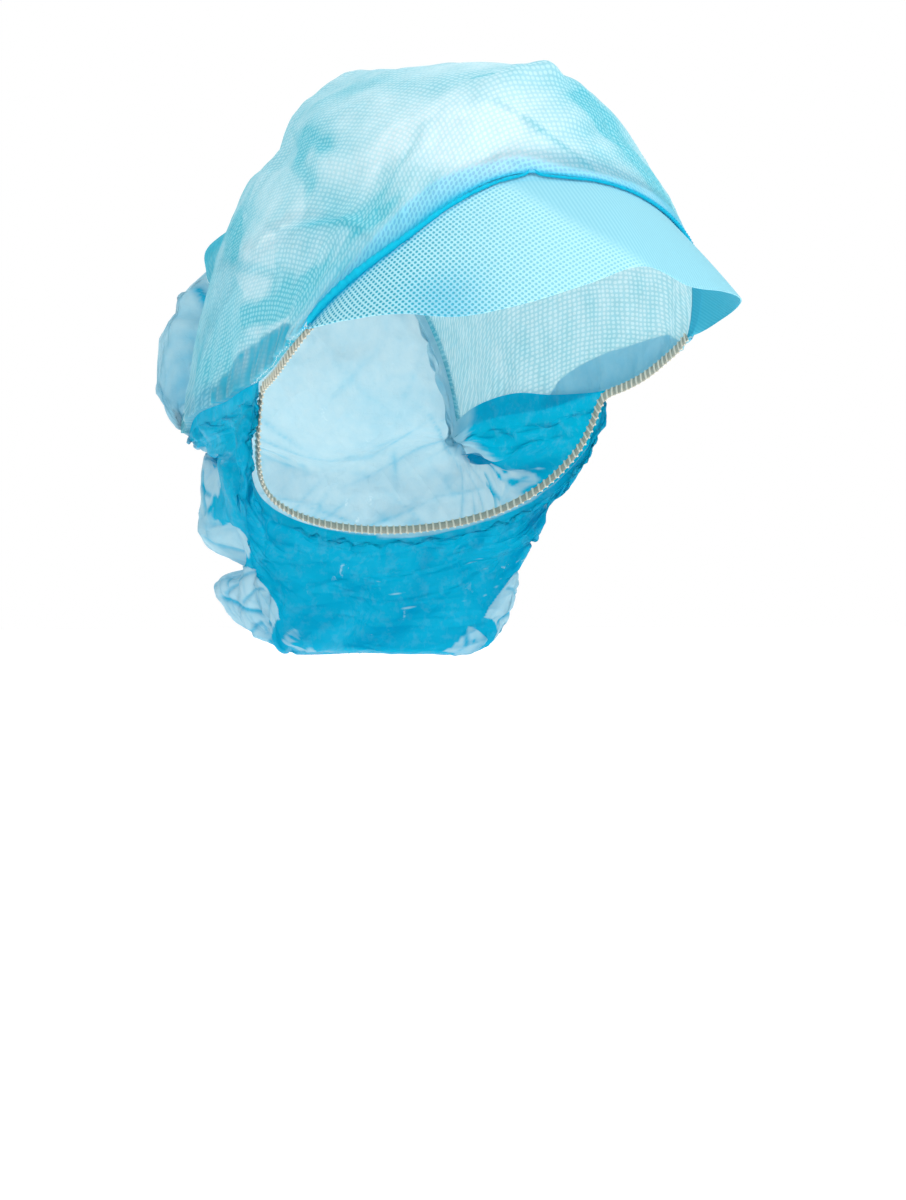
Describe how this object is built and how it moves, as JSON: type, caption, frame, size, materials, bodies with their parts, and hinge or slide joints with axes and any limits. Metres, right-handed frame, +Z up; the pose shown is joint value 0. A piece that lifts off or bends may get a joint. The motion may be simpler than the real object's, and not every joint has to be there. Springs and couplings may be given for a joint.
{
  "type": "peaked cap with hairnet",
  "caption": "Disposable peaked cap of light blue nonwoven with a stiffened visor, an elastic nape and a hanging film hairnet pouch behind the head, in its worn form.",
  "frame": {"origin": "middle of the head opening, level with the temples where the peak ends, on the cap's middle plane", "axes": "+Z up as worn, -Y the way the peak points, -X the wearer's right side"},
  "size_m": [0.174, 0.2759, 0.2315],
  "materials": {
    "crown_nonwoven": "matte embossed spunbond, slightly see-through",
    "peak_nonwoven": "matte, coarsely embossed, stiffened",
    "seam_fold": "matte folded nonwoven",
    "elastic_braid": "ribbed elastic braid",
    "hairnet_film": "thin smooth nonwoven film with a soft sheen"
  },
  "bodies": {
    "root": {"crown": "crown_nonwoven", "peak": "peak_nonwoven", "peak_seam": "seam_fold", "elastic": "elastic_braid", "hairnet_back": "hairnet_film", "hairnet_nape": "hairnet_film"}
  },
  "joints": []
}
